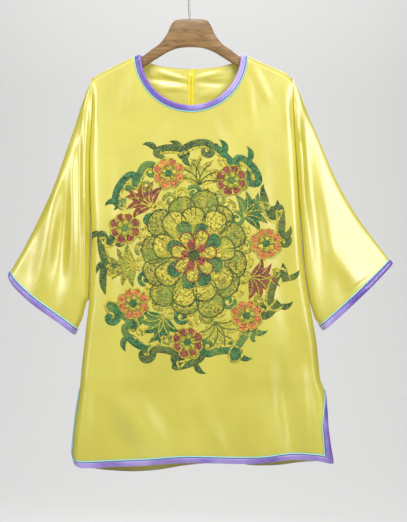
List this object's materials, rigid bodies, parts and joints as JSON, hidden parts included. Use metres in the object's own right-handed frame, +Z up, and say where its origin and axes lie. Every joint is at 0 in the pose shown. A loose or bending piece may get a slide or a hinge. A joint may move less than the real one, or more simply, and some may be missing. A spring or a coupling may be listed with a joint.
{
  "type": "embroidered formal top on a hanger",
  "caption": "Round-necked satin top with sleeves cut in one, contrast bands, side slits and a back zip, hung on a wooden hanger by its wire hook.",
  "frame": {"origin": "the highest point inside the hook, where it rests on a rail", "axes": "+Z up, the front of the top faces -Y, +X runs to the right as the front is seen"},
  "size_m": [0.7313, 0.0659, 0.9596],
  "materials": {
    "satin": "silk satin, yellow",
    "lilac": "satin bias band, lilac",
    "teal": "satin piping, teal",
    "zip_yellow": "woven zip tape and coil, yellow",
    "hanger_wood": "varnished wood",
    "steel": "plated steel"
  },
  "bodies": {
    "garment": {"front": "satin", "back_left": "satin", "back_right": "satin", "neck_band": "lilac", "neck_piping": "teal", "cuff_band_left": "lilac", "cuff_band_right": "lilac", "cuff_piping_left": "teal", "cuff_piping_right": "teal", "hem_band_front": "lilac", "hem_band_back": "lilac", "hem_piping_front": "teal", "hem_piping_back": "teal", "zip_coil": "zip_yellow", "zip_slider": "steel", "hanger": "hanger_wood", "hook": "steel"},
    "pull_tab": {"zip_pull": "steel"}
  },
  "joints": [
    {"name": "pull_swing", "type": "hinge", "parent": "garment", "child": "pull_tab", "pos_m": [0, 0.01361, -0.204], "axis": [1, 0, 0], "range_deg": [0, 150]}
  ]
}
